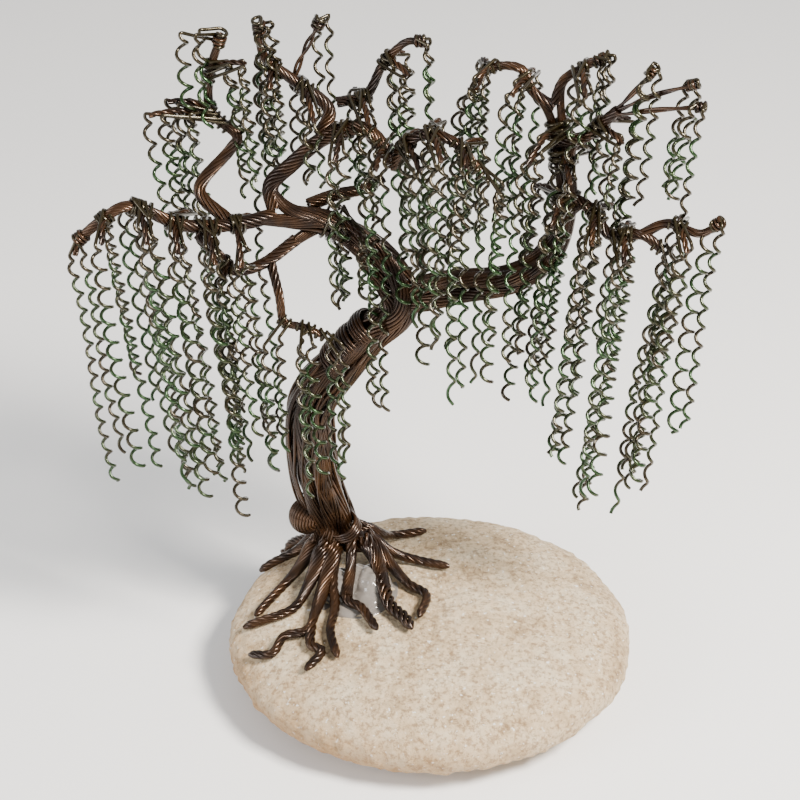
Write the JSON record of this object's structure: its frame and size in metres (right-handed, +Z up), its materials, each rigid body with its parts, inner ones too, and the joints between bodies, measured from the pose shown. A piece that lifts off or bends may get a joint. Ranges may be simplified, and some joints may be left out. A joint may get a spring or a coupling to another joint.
{
  "type": "wire tree sculpture",
  "caption": "Weeping willow twisted from enamelled wire, its curled wires hanging from bent limbs and its roots glued down on a smooth pebble.",
  "frame": {"origin": "middle of the pebble's flat underside, on the surface it stands on", "axes": "+Z up, the tree's front towards -Y, its long right limb towards +X"},
  "size_m": [0.1527, 0.094, 0.1768],
  "materials": {
    "stone": "matte, water-worn, mottled cream and grey",
    "hot_glue": "clear greyish set glue, glossy",
    "brown_wire": "dark brown enamelled copper, glossy",
    "green_wire": "dark green enamelled copper, glossy"
  },
  "bodies": {
    "root": {"pebble": "stone", "glue": "hot_glue", "trunk": "brown_wire", "left_limb": "brown_wire", "right_limb": "brown_wire", "far_left": "brown_wire", "s_branch": "brown_wire", "hook": "brown_wire", "hanging": "brown_wire", "crown_loop": "brown_wire", "crown_spur": "brown_wire", "crown_left": "brown_wire", "crown_right": "brown_wire", "arch": "brown_wire", "right_inner": "brown_wire", "right_top": "brown_wire", "right_outer": "brown_wire", "right_low": "brown_wire", "spray_far_left_tip": "green_wire", "spray_far_left_outer": "green_wire", "spray_left_outer": "green_wire", "spray_left_middle": "green_wire", "spray_left_inner": "green_wire", "spray_left_last": "green_wire", "spray_hook": "green_wire", "spray_upper_left_1": "green_wire", "spray_upper_left_2": "green_wire", "spray_top_left_side": "green_wire", "spray_crown_left": "green_wire", "spray_crown_front": "green_wire", "spray_crown_right_front": "green_wire", "spray_crown_right_side": "green_wire", "spray_loop": "green_wire", "spray_fork": "green_wire", "spray_left_limb": "green_wire", "spray_arch_1": "green_wire", "spray_arch_2": "green_wire", "spray_arch_3": "green_wire", "spray_right_inner_1": "green_wire", "spray_right_inner_2": "green_wire", "spray_right_limb_1": "green_wire", "spray_right_limb_2": "green_wire", "spray_right_limb_3": "green_wire", "spray_right_top": "green_wire", "spray_right_outer": "green_wire", "spray_right_low_1": "green_wire", "spray_right_low_2": "green_wire", "spray_right_low_3": "green_wire"}
  },
  "joints": []
}
